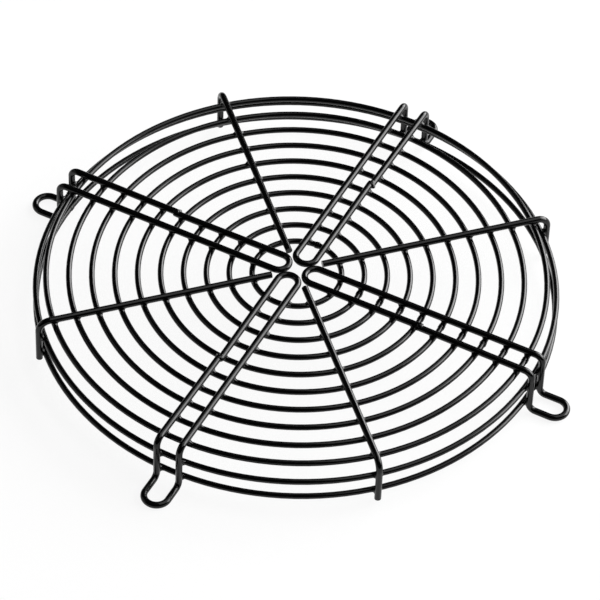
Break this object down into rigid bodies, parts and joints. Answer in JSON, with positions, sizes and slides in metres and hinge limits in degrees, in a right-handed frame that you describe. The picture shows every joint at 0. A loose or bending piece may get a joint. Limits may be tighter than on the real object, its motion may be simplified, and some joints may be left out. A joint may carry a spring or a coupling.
{
  "type": "wire fan guard",
  "caption": "Round wire finger guard for an axial fan: concentric welded rings on hairpin wires whose ends turn down the side into eyelet feet.",
  "frame": {"origin": "centre of the guard on its mounting plane, under the eyelet feet", "axes": "+Z along the guard's axis from the mounting plane towards the face; +X and +Y along two neighbouring hairpins"},
  "size_m": [0.2662, 0.2662, 0.0254],
  "materials": {
    "coated_wire": "gloss"
  },
  "bodies": {
    "root": {"ring_01": "coated_wire", "ring_02": "coated_wire", "ring_03": "coated_wire", "ring_04": "coated_wire", "ring_05": "coated_wire", "ring_06": "coated_wire", "ring_07": "coated_wire", "ring_08": "coated_wire", "ring_09": "coated_wire", "ring_10": "coated_wire", "rim_upper": "coated_wire", "rim_lower": "coated_wire", "hairpin_1": "coated_wire", "hairpin_2": "coated_wire", "hairpin_3": "coated_wire", "hairpin_4": "coated_wire", "spoke_1": "coated_wire", "spoke_2": "coated_wire", "spoke_3": "coated_wire", "spoke_4": "coated_wire"}
  },
  "joints": []
}
